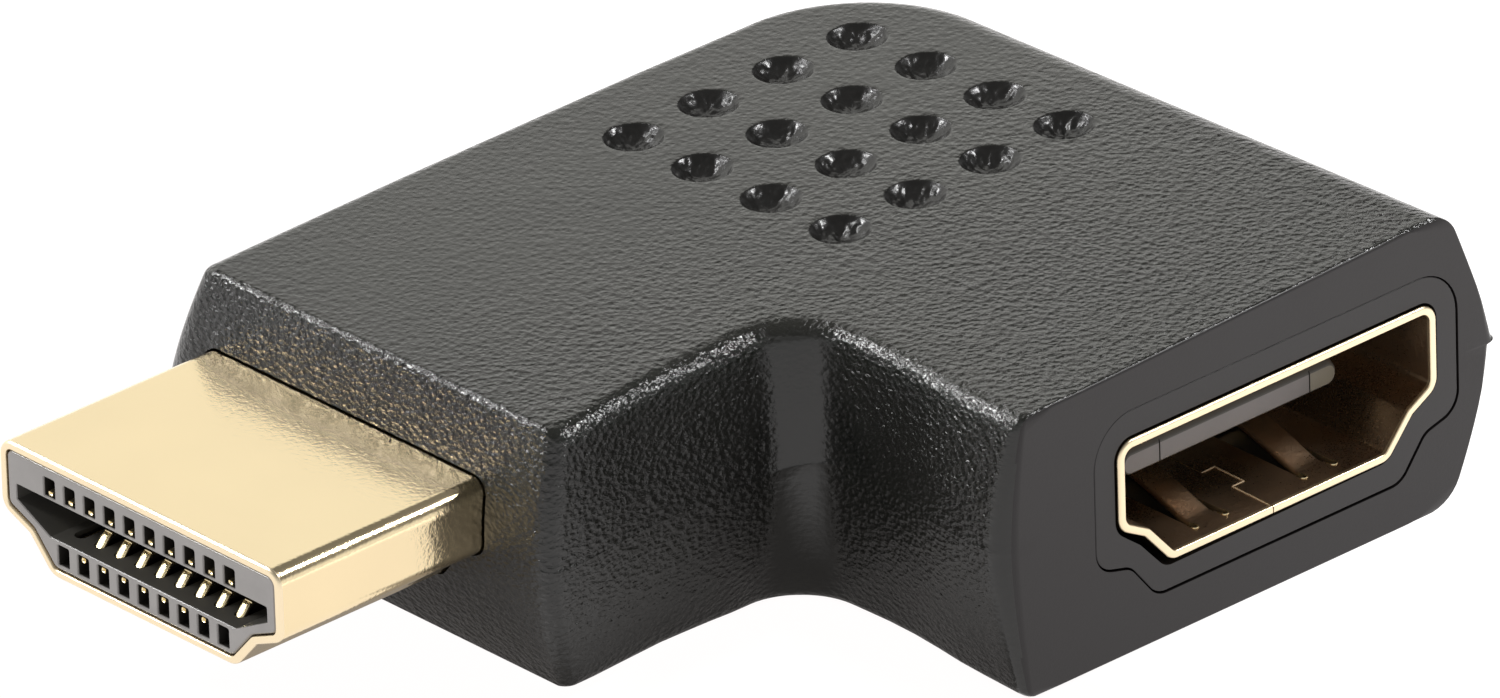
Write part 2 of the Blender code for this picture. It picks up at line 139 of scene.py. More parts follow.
def grained_black(name, base, rough_lo, rough_hi, depth, fine, spec=0.5, flat=0.45, wall=0.40):
    """Black flexible moulding with the fine leather-like grain of a textured mould, fainter on the level top, and with
    painted shade: its walls are coloured darker than the top by the factor wall.
    """
    n = Nodes(name)
    at = n.place((1, 1, 1.5))
    broad = n.noise(at, 6.0, 3, 0.6)
    mid = n.noise(at, 0.50, 3, 0.55, 0.4)
    pebble = n.voronoi(at, 0.25, "SMOOTH_F1", smooth=0.4)
    wrinkle = n.noise(at, 0.15, 2, 0.6, 0.8)
    facing = n.new("ShaderNodeSeparateXYZ", Vector=n.new("ShaderNodeTexCoord").outputs["Normal"])
    up = facing.outputs["Z"]
    dark = tuple(c * 0.72 for c in base)
    light = tuple(c * 1.3 for c in base)
    mottle = n.span(n.math("ADD", n.math("MULTIPLY", broad, 0.6), n.math("MULTIPLY", wrinkle, 0.4)), 0.35, 0.65, 0, 1)
    # painted shade: faces that do not look up take the colour times wall, so the walls come out darker than the level
    # top
    colour = n.mix(n.span(up, 0.3, 0.95, 0, 1), n.mix(mottle, tuple(c * wall for c in dark), tuple(c * wall for c in light)), n.mix(mottle, dark, light))
    rough = n.span(n.math("ADD", n.math("MULTIPLY", broad, 0.5), n.math("MULTIPLY", mid, 0.5)), 0.35, 0.65, rough_lo, rough_hi)
    h = n.math("ADD", n.math("MULTIPLY", pebble, 0.9), n.math("MULTIPLY", wrinkle, 0.65))
    h = n.math("ADD", h, n.math("MULTIPLY", mid, 0.55))
    where = n.new("ShaderNodeSeparateXYZ", Vector=at)
    # deepest on the walls, less deep where the edges were rounded, and shallow on the level top
    edge = n.span(up, 0.30, 0.60, 1.0, 0.72 if flat < 1 else 1.0)
    strength = n.span(up, 0.93, 0.985, edge, n.span(where.outputs["X"], -0.006, 0.012, flat, flat * 3.2 if flat < 1 else 1.0))
    # the fillet between the arms is smooth
    corner = n.math("MULTIPLY", n.math("SUBTRACT", facing.outputs["X"], facing.outputs["Y"]), 0.7071)
    fillet = n.math("MULTIPLY", n.span(corner, 0.76, 0.93, 0.0, 0.80), n.span(where.outputs["Y"], -0.006, -0.004, 0.0, 1.0))
    normal = n.bump(h, depth, n.math("MULTIPLY", strength, n.math("SUBTRACT", 1.0, fillet)))
    normal = n.bump(n.noise(at, 0.07, 2, 0.5), fine, under=normal)
    return n.out(Base_Color=colour, Roughness=rough, Normal=normal, Specular_IOR_Level=spec)


def smooth_black(name, base, rough_lo, rough_hi, depth, spec=0.42):
    """Black hard moulding, smooth and matt, with only the faint flow of the plastic in it."""
    n = Nodes(name)
    at = n.place()
    broad = n.noise(at, 3.0, 3, 0.6)
    fine = n.noise(at, 0.12, 3, 0.6)
    colour = n.mix(n.span(broad, 0.3, 0.7, 0, 1), tuple(c * 0.88 for c in base), tuple(c * 1.12 for c in base))
    rough = n.span(n.math("ADD", n.math("MULTIPLY", broad, 0.6), n.math("MULTIPLY", fine, 0.4)), 0.35, 0.65, rough_lo, rough_hi)
    return n.out(Base_Color=colour, Roughness=rough, Normal=n.bump(fine, depth), Specular_IOR_Level=spec)


def gold_plate(name, base, rough_lo, rough_hi, peel, tint=0.06):
    """Gold plate over formed sheet, with the slight orange peel of the plating."""
    n = Nodes(name)
    at = n.place()
    broad = n.noise(at, 4.0, 2, 0.5)
    peel_h = n.noise(at, 0.20, 2, 0.5, 0.3)
    fine = n.noise(at, 0.07, 2, 0.55)
    colour = n.mix(n.span(broad, 0.3, 0.7, 0, 1), tuple(c * (1 - tint) for c in base), tuple(min(1.0, c * (1 + tint / 2)) for c in base))
    rough = n.span(n.math("ADD", n.math("MULTIPLY", broad, 0.5), n.math("MULTIPLY", fine, 0.5)), 0.35, 0.65, rough_lo, rough_hi)
    normal = n.bump(peel_h, peel)
    normal = n.bump(fine, peel * 0.35, under=normal)
    return n.out(Base_Color=colour, Roughness=rough, Normal=normal, Metallic=1.0)


def moulded(name, base, rough_lo, rough_hi, depth, spec=0.5):
    """Plain moulded plastic with faint mottling."""
    n = Nodes(name)
    at = n.place()
    broad = n.noise(at, 1.6, 3, 0.6)
    fine = n.noise(at, 0.08, 2, 0.6)
    colour = n.mix(n.span(broad, 0.3, 0.7, 0, 1), tuple(c * 0.92 for c in base), tuple(c * 1.07 for c in base))
    rough = n.span(broad, 0.3, 0.7, rough_lo, rough_hi)
    return n.out(Base_Color=colour, Roughness=rough, Normal=n.bump(fine, depth), Specular_IOR_Level=spec)


# the grain's walls are painted at 0.45 of the top's colour as painted shade; the dimples' walls are not
M_GRAIN = grained_black("overmould_grain", (0.017, 0.0168, 0.0140), 0.13, 0.19, 0.060, 0.0010, spec=0.55, wall=0.45, flat=0.45)
M_DIMPLE = grained_black("overmould_dimple", (0.010, 0.0094, 0.0084), 0.20, 0.27, 0.010, 0.002, flat=1.0, wall=1.0)
M_FACE = smooth_black("overmould_face", (0.0105, 0.0084, 0.0084), 0.36, 0.46, 0.003)
M_BEZEL = smooth_black("bezel_black", (0.0145, 0.0125, 0.0123), 0.34, 0.44, 0.002)
M_GOLD = gold_plate("gold_satin", (0.94, 0.772, 0.487), 0.12, 0.16, 0.0085, 0.02)
M_RIM = gold_plate("gold_rim", (0.95, 0.80, 0.55), 0.30, 0.40, 0.005, 0.03)
# painted shade: a darker, browner gold for the insides of the shells and the socket's spring fingers, where shade falls
M_GOLD_IN_SHADE = gold_plate("gold_inside_shade", (0.62, 0.455, 0.31), 0.24, 0.36, 0.014, 0.25)
M_GREY = moulded("insulator_grey", (0.275, 0.262, 0.252), 0.16, 0.24, 0.002)
# painted shade: the insulator's grey darkened, for the pocket, slots, tip lines and the socket insulator's sides and
# tongue, which lie in shade
M_GREY_SHADE = moulded("insulator_shade", (0.066, 0.063, 0.056), 0.38, 0.50, 0.002, 0.3)
M_EDGE = moulded("gold_raw_edge", (0.62, 0.47, 0.30), 0.40, 0.50, 0.002)
# painted shade: near-black for the insides of the insulator's windows, which are cut in the same grey moulding
M_WINDOW_SHADE = moulded("insulator_window_shade", (0.018, 0.016, 0.014), 0.40, 0.52, 0.002)
M_TONGUE = moulded("tongue_grey", (0.160, 0.148, 0.144), 0.34, 0.44, 0.002)
M_TONGUE_END = moulded("tongue_end", (0.178, 0.162, 0.124), 0.34, 0.44, 0.002)
M_CONTACT = gold_plate("contact_gold", (0.95, 0.80, 0.48), 0.22, 0.30, 0.002, 0.03)


# =============================================================== outlines and meshes
def rounded(corners, segments=8):
    """Corner points (x, y, radius) in order round the outline -> points with the corners as arcs."""
    out = []
    n = len(corners)
    for i, (x, y, r) in enumerate(corners):
        p = Vector((x, y))
        a = (Vector(corners[i - 1][:2]) - p).normalized()
        b = (Vector(corners[(i + 1) % n][:2]) - p).normalized()
        if r <= 0:
            out.append((x, y))
            continue
        half = a.angle(b) / 2
        t = r / math.tan(half)
        centre = p + (a + b).normalized() * (r / math.sin(half))
        s, e = p + a * t - centre, p + b * t - centre
        turn = s.angle_signed(e)
        for k in range(segments + 1):
            ang = -turn * k / segments
            out.append((centre.x + s.x * math.cos(ang) - s.y * math.sin(ang), centre.y + s.x * math.sin(ang) + s.y * math.cos(ang)))
    return out


def grown(corners, d):
    """The same outline (counter-clockwise) with every side moved outwards by d."""
    n = len(corners)
    out = []
    for i, (x, y, r) in enumerate(corners):
        p = Vector((x, y))
        d1 = (p - Vector(corners[i - 1][:2])).normalized()
        d2 = (Vector(corners[(i + 1) % n][:2]) - p).normalized()
        n1, n2 = Vector((d1.y, -d1.x)), Vector((d2.y, -d2.x))
        m = (n1 + n2) / (1 + n1.dot(n2))
        convex = d1.x * d2.y - d1.y * d2.x > 0
        out.append((x + m.x * d, y + m.y * d, max(0.04, r + d if convex else r - d) if r > 0 else 0))
    return out


def stepped(half, top, bottom, step_half, step_top, step_low, foot_half, r_top, r_side, r_step, r_foot):
    """The connector outline: straight top and sides, then a step inwards to a narrower foot."""
    return [
        (half, top, r_top), (-half, top, r_top), (-half, step_top, r_side), (-step_half, step_low, r_step),
        (-foot_half, bottom, r_foot), (foot_half, bottom, r_foot), (step_half, step_low, r_step), (half, step_top, r_side),
    ]


PLUG_IN = stepped(6.72, 1.925, -1.82, 5.47, -0.15, -0.68, 4.45, 0.32, 0.36, 0.42, 0.42)
SOCKET_IN = stepped(7.0, 2.275, -2.275, 5.95, -0.45, -1.02, 4.85, 0.38, 0.40, 0.45, 0.35)
BEZEL = stepped(8.3, 3.62, -3.65, 6.75, -1.8, -2.2, 5.6, 1.75, 0.9, 0.8, 0.9)


def along_y(p, a):
    return (p[0], a, p[1])


def along_x(p, a):
    return (a, SOCKET_Y + p[0], p[1])


def along_z(p, a):
    return (p[0], p[1], a)


SOCKET_Y = 32.4
RIM_X = 20.62
BODY_FACE = 20.5


def new_object(name, verts, faces, mats, face_mat=None, aside=False):
    """Mesh object from design millimetres."""
    me = bpy.data.meshes.new(name)
    me.from_pydata([tuple((Vector(v) + SHIFT) * MM) for v in verts], [], faces)
    for m in mats:
        me.materials.append(m)
    if face_mat is not None:
        me.polygons.foreach_set("material_index", face_mat)
    me.validate()
    me.update()
    ob = bpy.data.objects.new(name, me)
    (ASIDE if aside else SCENE.collection).objects.link(ob)
    return ob


def outward(ob):
    bm = bmesh.new()
    bm.from_mesh(ob.data)
    bmesh.ops.recalc_face_normals(bm, faces=bm.faces)
    bm.to_mesh(ob.data)
    bm.free()
    return ob


def loft(name, rings, mats, ring_mat=None, cap_ends=True, loop=False, cap_mats=(0, 0), aside=False):
    """Closed skin through rings of equal count.  loop joins the last ring back to the first."""
    n = len(rings[0])
    verts = [p for r in rings for p in r]
    faces, fm = [], []
    pairs = [(i, i + 1) for i in range(len(rings) - 1)] + ([(len(rings) - 1, 0)] if loop else [])
    for k, (a, b) in enumerate(pairs):
        for i in range(n):
            j = (i + 1) % n
            faces.append((a * n + i, a * n + j, b * n + j, b * n + i))
            fm.append(ring_mat[k] if ring_mat else 0)
    if cap_ends and not loop:
        faces.append(tuple(range(n - 1, -1, -1)))
        fm.append(cap_mats[0])
        faces.append(tuple(range((len(rings) - 1) * n, len(rings) * n)))
        fm.append(cap_mats[1])
    return outward(new_object(name, verts, faces, mats, fm, aside))


def prism(name, corners, axis, lo, hi, mats, segments=8, flare=(), aside=True):
    """An outline run along an axis.  flare lists (growth, distance from lo) for a mouth that opens outwards at lo;
    a second material is the flare's own."""
    rings = [[axis(p, lo + d) for p in rounded(grown(corners, g), segments)] for g, d in flare]
    if not flare:
        rings = [[axis(p, lo) for p in rounded(corners, segments)]]
    rings.append([axis(p, hi) for p in rounded(corners, segments)])
    of_flare = 1 if len(mats) > 1 else 0
    return loft(name, rings, mats, [of_flare] * (len(rings) - 2) + [0], aside=aside)


def joined(name, objects, aside=True):
    """One object that holds several separate bodies."""
    bm = bmesh.new()
    mats = []
    for o in objects:
        idx = []
        for m in o.data.materials:
            if m not in mats:
                mats.append(m)
            idx.append(mats.index(m))
        before = len(bm.faces)
        bm.from_mesh(o.data)
        bm.faces.ensure_lookup_table()
        for f in bm.faces[before:]:
            f.material_index = idx[min(f.material_index, len(idx) - 1)] if idx else 0
    me = bpy.data.meshes.new(name)
    bm.to_mesh(me)
    bm.free()
    for m in mats:
        me.materials.append(m)
    for o in objects:
        drop(o)
    ob = bpy.data.objects.new(name, me)
    (ASIDE if aside else SCENE.collection).objects.link(ob)
    return ob


def drop(ob):
    bpy.data.objects.remove(ob, do_unlink=True)


def boolean(ob, tools, operation="DIFFERENCE"):
    """Applies one exact boolean after another; the tools are used up."""
    for tool in tools:
        m = ob.modifiers.new("cut", "BOOLEAN")
        m.object = tool
        m.operation = operation
        m.solver = "EXACT"
        m.material_mode = "TRANSFER"
        bpy.context.view_layer.update()
        me = bpy.data.meshes.new_from_object(ob.evaluated_get(bpy.context.evaluated_depsgraph_get()))
        ob.modifiers.clear()
        old = ob.data
        ob.data = me
        bpy.data.meshes.remove(old)
        drop(tool)
    return ob


def weighted(ob, sharp=32):
    """Smooth shading that keeps large flat faces flat."""
    ob.data.shade_smooth()
    ob.data.set_sharp_from_angle(angle=math.radians(sharp))
    m = ob.modifiers.new("weighted_normals", "WEIGHTED_NORMAL")
    m.keep_sharp = True
    m.mode = "FACE_AREA_WITH_ANGLE"
    m.weight = 60
    bpy.context.view_layer.update()
    me = bpy.data.meshes.new_from_object(ob.evaluated_get(bpy.context.evaluated_depsgraph_get()))
    ob.modifiers.clear()
    old = ob.data
    name = old.name
    ob.data = me
    bpy.data.meshes.remove(old)
    me.name = name
    return ob


def bevel_where(ob, test, width_mm, segments=2):
    """Rounds the edges that test(edge) picks.  Points are given to it in design millimetres."""
    bm = bmesh.new()
    bm.from_mesh(ob.data)
    to_mm = lambda v: v.co / MM - SHIFT
    edges = [e for e in bm.edges if len(e.link_faces) == 2 and test(to_mm(e.verts[0]), to_mm(e.verts[1]), e)]
    if edges:
        bmesh.ops.bevel(bm, geom=edges, offset=width_mm * MM, offset_type="OFFSET", segments=segments, profile=0.5,
                        affect="EDGES", clamp_overlap=True, material=-1)
    bm.to_mesh(ob.data)
    bm.free()
    return len(edges)


def finish_piece(ob, slot, *nodes):
    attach(ob, "root")
    if nodes:
        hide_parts(*nodes)
    return ob


# =============================================================== overmoulded body
BODY_LEFT, BODY_INNER_X, BODY_PLUG_END, BODY_INNER_Y, BODY_BACK = -9.78, 9.7, 9.4, 20.3, 42.28


def top_at(x, y):
    return 4.532 - 0.002 * x + 0.012 * y + 0.0008 * x * y


def bottom_at(x, y):
    return -5.4 + max(0.0, (18.2 - y) / 8.8) * 0.42


# walls in order: plug shoulder, inner side of the plug arm, inner side of the socket arm, socket face, back, outer side
# a wall starts at START on the parting line and leans in by LEAN at its top, along t ** CURVE
START_UP = [-0.45, -0.22, -0.15, 0.0, -0.27, 0.0]
START_DOWN = [-0.45, -0.22, -0.15, 0.0, -0.02, 0.0]
LEAN_UP = [1.05, 0.42, 0.95, 0.0, 2.12, 1.68]
LEAN_DOWN = [1.15, 0.42, 0.95, 0.0, 1.97, 1.68]
CURVE_UP = [2.0, 2.0, 1.7, 1.0, 1.0, 1.0]
CURVE_DOWN = [2.0, 2.0, 1.7, 1.0, 1.0, 1.0]
EDGE_UP = [0.32, 0.80, 0.80, 0.16, 1.40, 0.75]
EDGE_DOWN = [0.30, 0.55, 0.55, 0.08, 1.60, 0.60]
WALL_UP = [4.65, 4.8, 5.0, 5.2, 5.3, 4.7]
WALL_DOWN = [5.0, 5.2, 5.4, 5.4, 5.4, 5.3]
BULGE_UP = [0, 0, 0, 0, 0.05, 0.0]
BULGE_DOWN = [0, 0, 0, 0, 0.22, 0.10]
FLASH = [0.46, 0.240, 0.170, 0.0, 0.40, 0.10]
RIDGE_Z = [0.0, -0.15, 0.30, 0.10, 0.05, 0.0]
CORNERS = [
    (BODY_LEFT, BODY_PLUG_END, 1.45, 16), (BODY_INNER_X, BODY_PLUG_END, 0.62, 14), (BODY_INNER_X, BODY_INNER_Y, -1.95, 28),
    (BODY_FACE, BODY_INNER_Y, 0.75, 12), (BODY_FACE, BODY_BACK, 0.3, 6), (BODY_LEFT, BODY_BACK, 7.2, 40),
]
SHRINK = [0.75, 0.25, 0.6, 1.0, 1.0, 1.0]
INWARD = [Vector((0, 1)), Vector((-1, 0)), Vector((0, 1)), Vector((-1, 0)), Vector((0, -1)), Vector((1, 0))]
ALONG = [0.02, 0.1, 0.22, 0.36, 0.5, 0.64, 0.78, 0.9, 0.98]
ALONG_FACE = [0.06, 0.12, 0.22, 0.36, 0.5, 0.64, 0.76, 0.84, 0.90]


def ramp(v, points):
    """Straight lines through (v, value) points, level past both ends."""
    if v <= points[0][0]:
        return points[0][1]
    for (a, p), (b, q) in zip(points, points[1:]):
        if v <= b:
            return p + (q - p) * (v - a) / (b - a)
    return points[-1][1]


def warped(x, y, z):
    """The arms' inner walls draw apart towards their free ends, the fillet between them stays upright, and the outer
    side is slightly bowed."""
    dx = ramp(y, [(9.5, 0.30), (11.2, 0.20), (12.8, 0.0), (14.8, -0.24), (16.8, -0.32)]) * ramp(x, [(5.0, 0.0), (8.6, 1.0), (13.0, 1.0), (17.0, 0.0)])
    dx *= ramp(y, [(21.0, 1.0), (25.0, 0.0)])
    dy = ramp(x, [(12.0, 0.12), (14.2, 0.18), (16.0, 0.0), (17.4, -0.18), (20.0, -0.30)]) * ramp(x, [(10.0, 0.0), (12.0, 1.0)])
    dy *= ramp(y, [(22.0, 1.0), (26.0, 0.0)])
    side = ramp(y, [(9.0, 0.12), (14.0, 0.0), (20.0, -0.11), (30.0, -0.10), (34.0, 0.0)]) * ramp(x, [(-8.5, 1.0), (-4.0, 0.0)])
    near = ramp(x, [(7.0, 0.0), (9.0, 1.0), (12.4, 1.0), (17.0, 0.0)]) * ramp(y, [(13.0, 0.0), (18.0, 1.0), (21.5, 1.0), (24.0, 0.0)])
    near *= max(0.0, 1 - abs(z / 5.0) ** 1.7)
    return x + dx + side + 0.38 * near, y + dy + 0.42 * near


def section(inset):
    """Ring round the body: (x, y, wall before, wall after, how far between them)."""
    arcs = []
    for i, (cx, cy, r, seg) in enumerate(CORNERS):
        w0, w1 = (i - 1) % 6, i
        p = Vector((cx, cy)) + INWARD[w0] * inset[w0] + INWARD[w1] * inset[w1]
        concave = r < 0
        rad = max(abs(r) + (1 if concave else -1) * SHRINK[i] * (inset[w0] + inset[w1]) / 2, 0.10)
        a = -INWARD[w1] if concave else INWARD[w1]
        b = -INWARD[w0] if concave else INWARD[w0]
        centre = p + (a + b) * rad
        arc = []
        for k in range(seg + 1):
            t = k / seg * math.pi / 2
            q = centre - b * rad * math.cos(t) - a * rad * math.sin(t)
            # the socket face is a plain cut, so the rounding of its neighbours runs right out to it
            arc.append((q.x, q.y, w0, w1, {3: 0.0, 4: 1.0}.get(i, k / seg)))
        arcs.append(arc)
    ring = []
    for i in range(6):
        ring += arcs[i]
        p, q = arcs[i][-1], arcs[(i + 1) % 6][0]
        for f in ALONG_FACE if i == 3 else ALONG:
            ring.append((p[0] + (q[0] - p[0]) * f, p[1] + (q[1] - p[1]) * f, i, i, 0.0))
    return ring


blend = lambda d, p: d[p[2]] * (1 - p[4]) + d[p[3]] * p[4]


def half_body(start, lean, curve, height, edge, bulge, surface, steps, sign):
    """Rings from the parting line outwards to the cap, then one more on the cap itself."""
    rings = []
    at = lambda i, t: start[i] + lean[i] * t ** curve[i] - 4 * bulge[i] * t * (1 - t)
    slope = lambda i, t: (curve[i] * lean[i] * t ** (curve[i] - 1) - 4 * bulge[i] * (1 - 2 * t)) / height[i]
    reach, phi = [1.0] * 6, [0.0] * 6
    for i in range(6):
        for _ in range(30):
            phi[i] = math.atan(slope(i, reach[i]))
            reach[i] = 1 - edge[i] * (1 - math.sin(phi[i])) / height[i]
    c = [at(i, reach[i]) + edge[i] * math.cos(phi[i]) for i in range(6)]
    tan_drop = [r * (1 - math.sin(f)) for r, f in zip(edge, phi)]
    for t in (0.0, 0.08, 0.2, 0.34, 0.48, 0.62, 0.76, 0.89):
        ring = []
        for p in section([at(i, t * reach[i]) for i in range(6)]):
            z = surface(p[0], p[1]) - sign * blend(tan_drop, p)
            ring.append((p[0], p[1], z * t + (sign * 0.05 + blend(RIDGE_Z, p)) * (1 - t)))
        rings.append(ring)
    for k in range(steps + 1):
        th = [f + (math.pi / 2 - f) * k / steps for f in phi]
        pts = section([ci - r * math.cos(a) for ci, r, a in zip(c, edge, th)])
        dr = [r * (1 - math.sin(a)) for r, a in zip(edge, th)]
        rings.append([(p[0], p[1], surface(p[0], p[1]) - sign * blend(dr, p)) for p in pts])
    pts = section([ci + 0.10 for ci in c])
    rings.append([(p[0], p[1], surface(p[0], p[1])) for p in pts])
    return [[(*warped(*p), p[2]) for p in ring] for ring in rings]


DIMPLE_X, DIMPLE_Y, DIMPLE_PITCH, DIMPLE_R, DIMPLE_DEPTH = -4.37, 36.55, 3.425, 1.06, 0.46
DIMPLE_OUT = 1.26
SPOTS = [(DIMPLE_X + i * DIMPLE_PITCH, DIMPLE_Y - j * DIMPLE_PITCH) for i in range(4) for j in range(4)]


def dimple_depth(r):
    ball = (DIMPLE_R ** 2 + DIMPLE_DEPTH ** 2) / (2 * DIMPLE_DEPTH)
    b = math.sqrt(max(0.0, ball ** 2 - r ** 2)) - (ball - DIMPLE_DEPTH)
    e = 0.04
    d = 0.5 * (b + math.sqrt(b * b + e * e))
    return d * max(0.0, min(1.0, (DIMPLE_OUT - r) / 0.12))


def body_mesh():
    bm = bmesh.new()
    upper = half_body(START_UP, LEAN_UP, CURVE_UP, WALL_UP, EDGE_UP, BULGE_UP, top_at, 10, 1)
    lower = half_body(START_DOWN, LEAN_DOWN, CURVE_DOWN, WALL_DOWN, EDGE_DOWN, BULGE_DOWN, bottom_at, 7, -1)
    ridge = [(*warped(p[0], p[1], blend(RIDGE_Z, p)), blend(RIDGE_Z, p)) for p in section([-f for f in FLASH])]
    levels = list(reversed(lower)) + [ridge] + upper
    walls = section([0.0] * 6)
    rings = [[bm.verts.new(p) for p in r] for r in levels]
    n = len(rings[0])
    for lo, hi in zip(rings, rings[1:]):
        for i in range(n):
            j = (i + 1) % n
            f = bm.faces.new((lo[i], lo[j], hi[j], hi[i]))
            on_face = (walls[i][2] == 3 or walls[i][3] == 3) and (walls[j][2] == 3 or walls[j][3] == 3)
            mid = (lo[i].co + hi[j].co) / 2
            f.material_index = 1 if on_face and mid.x > BODY_FACE - 0.06 else 0
    # dimples: each is a bowl whose outermost ring lies on the top
    segs = 72
    loops = []
    radii = [DIMPLE_OUT, 1.19, 1.14, 1.11, 1.085, 1.06, 1.035, 1.01, 0.98, 0.945, 0.905, 0.86, 0.81, 0.75, 0.68, 0.61, 0.53, 0.45, 0.36, 0.27, 0.18, 0.09]
    for sx, sy in SPOTS:
        prev = None
        for r in radii:
            ring = []
            for k in range(segs):
                a = 2 * math.pi * k / segs
                x, y = sx + r * math.cos(a), sy + r * math.sin(a)
                d = dimple_depth(r)
                u, v = 0.664 * x + 0.748 * y, 0.664 * y - 0.748 * x
                lump = noise.noise(Vector((u * 4.4, v * 2.2, 1.7))) * 0.6 + noise.noise(Vector((u * 6.6, v * 5.0, 4.3))) * 0.4
                d += 0.095 * lump * max(0.0, min(1.0, (1.03 - r) / 0.2))
                ring.append(bm.verts.new((x, y, top_at(x, y) - d)))
            if prev:
                for k in range(segs):
                    f = bm.faces.new((prev[k], prev[(k + 1) % segs], ring[(k + 1) % segs], ring[k]))
                    f.material_index = 2 if r < 1.04 else 0
            else:
                loops.append(ring)
            prev = ring
        tip = bm.verts.new((sx, sy, top_at(sx, sy) - dimple_depth(0)))
        for k in range(segs):
            bm.faces.new((prev[k], prev[(k + 1) % segs], tip)).material_index = 2
    bm.edges.ensure_lookup_table()
    edge = lambda a, b: bm.edges.get((a, b)) or bm.edges.new((a, b))
    for rim, holes, up in ((rings[-1], loops, 1), (rings[0], [], -1)):
        es = [edge(rim[i], rim[(i + 1) % n]) for i in range(n)]
        for h in holes:
            es += [edge(h[k], h[(k + 1) % segs]) for k in range(segs)]
        bmesh.ops.triangle_fill(bm, use_beauty=True, use_dissolve=False, edges=es, normal=(0, 0, up))
    bmesh.ops.recalc_face_normals(bm, faces=bm.faces)
    bmesh.ops.transform(bm, matrix=Matrix.Scale(MM, 4) @ Matrix.Translation(SHIFT), verts=bm.verts)
    me = bpy.data.meshes.new("overmould_body")
    bm.to_mesh(me)
    bm.free()
    for m in (M_GRAIN, M_FACE, M_DIMPLE):
        me.materials.append(m)
    ob = bpy.data.objects.new("overmould_body", me)
    SCENE.collection.objects.link(ob)
    return ob


CORE_HALF, GAP, CORE_GAP = 3.2, 0.06, 0.08
CORE_ARM = [(-7.3, 12.0, 0), (7.3, 12.0, 0), (7.3, 24.6, 0), (8.6, 24.6, 0), (8.6, 40.2, 0), (1.8, 40.2, 0), (-7.3, 31.3, 0)]
SHEET, PLUG_GAP = 0.3, 0.075
BEZEL_GAP = 0.055

body = body_mesh()
boolean(body, [
    prism("cut_core_arm", grown(CORE_ARM, CORE_GAP), along_z, -CORE_HALF - CORE_GAP, CORE_HALF + CORE_GAP, [M_GRAIN]),
    prism("cut_core_socket", [(c[0] + 0.03, c[1] - 0.035, c[2]) for c in grown(BEZEL, BEZEL_GAP)], along_x, 8.0, BODY_FACE + 2, [M_FACE], 12),
    prism("cut_plug_hole", grown(PLUG_IN, SHEET + PLUG_GAP), along_y, 7.4, 12.3, [M_GRAIN], 6),
])


def hole_edge(a, b, e):
    """Edges where the plug's hole breaks through the shoulder."""
    for p in (a, b):
        if not (8.8 < p.y < 10.2 and abs(p.x) < 7.5 and -2.8 < p.z < 2.8):
            return False
    n0, n1 = (f.normal for f in e.link_faces)
    return n0.angle(n1, 0) > math.radians(55)


bevel_where(body, hole_edge, 0.07, 2)
weighted(body)
finish_piece(body, "overmould", "overmould")

# =============================================================== inner mould, whose end is the bezel
front = [(-0.045, 0.0), (-0.029, 0.005), (-0.013, 0.016), (-0.004, 0.029), (0.0, 0.045)]
rings = [[along_x(p, 8.1) for p in rounded(BEZEL, 12)]]
rings += [[along_x(p, BODY_FACE - d) for p in rounded(grown(BEZEL, g), 12)] for g, d in reversed(front)]
bezel_block = loft("bezel_block", rings, [M_BEZEL], aside=True)
inner = prism("bezel_and_core", CORE_ARM, along_z, -CORE_HALF, CORE_HALF, [M_BEZEL], aside=False)
boolean(inner, [bezel_block], "UNION")

# the hole in the bezel fits the shell closely, apart from its lower left step, where it is roomier
hole = grown(SOCKET_IN, SHEET + 0.10)
hole = [list(c) for c in hole]
hole[3][1] -= 0.20
hole[4][1] -= 0.10
hole[3][0] -= 0.10
hole[4][0] -= 0.16
hole = [tuple(c) for c in hole]
BOARD = [(-5.2, 11.9, 0), (5.2, 11.9, 0), (5.2, 13.7, 0), (6.2, 14.2, 0), (6.2, 26.0, 0), (11.3, 26.0, 0),
         (11.3, 38.8, 0), (2.2, 38.8, 0), (-6.2, 30.6, 0), (-6.2, 14.2, 0), (-5.2, 13.7, 0)]
box = lambda x0, y0, x1, y1: [(x0, y0, 0), (x1, y0, 0), (x1, y1, 0), (x0, y1, 0)]
boolean(inner, [
    prism("cut_inner_socket", hole, along_x, 10.36, 22.6, [M_BEZEL], 8),
    prism("cut_inner_plug", grown(PLUG_IN, SHEET + GAP), along_y, 11, 13.56, [M_BEZEL], 6),
    prism("cut_inner_board", grown(BOARD, GAP), along_z, -0.56, 0.56, [M_BEZEL]),
    prism("cut_inner_plug_tails", box(-4.95, 13.0, 4.95, 14.1), along_z, -0.95, 0.95, [M_BEZEL]),
    prism("cut_inner_socket_tails", box(9.3, SOCKET_Y - 4.95, 10.9, SOCKET_Y + 4.95), along_z, -0.95, 0.95, [M_BEZEL]),
])
weighted(inner)
finish_piece(inner, "bezel", "inner_mould")

# =============================================================== plug shell
SEG = 8


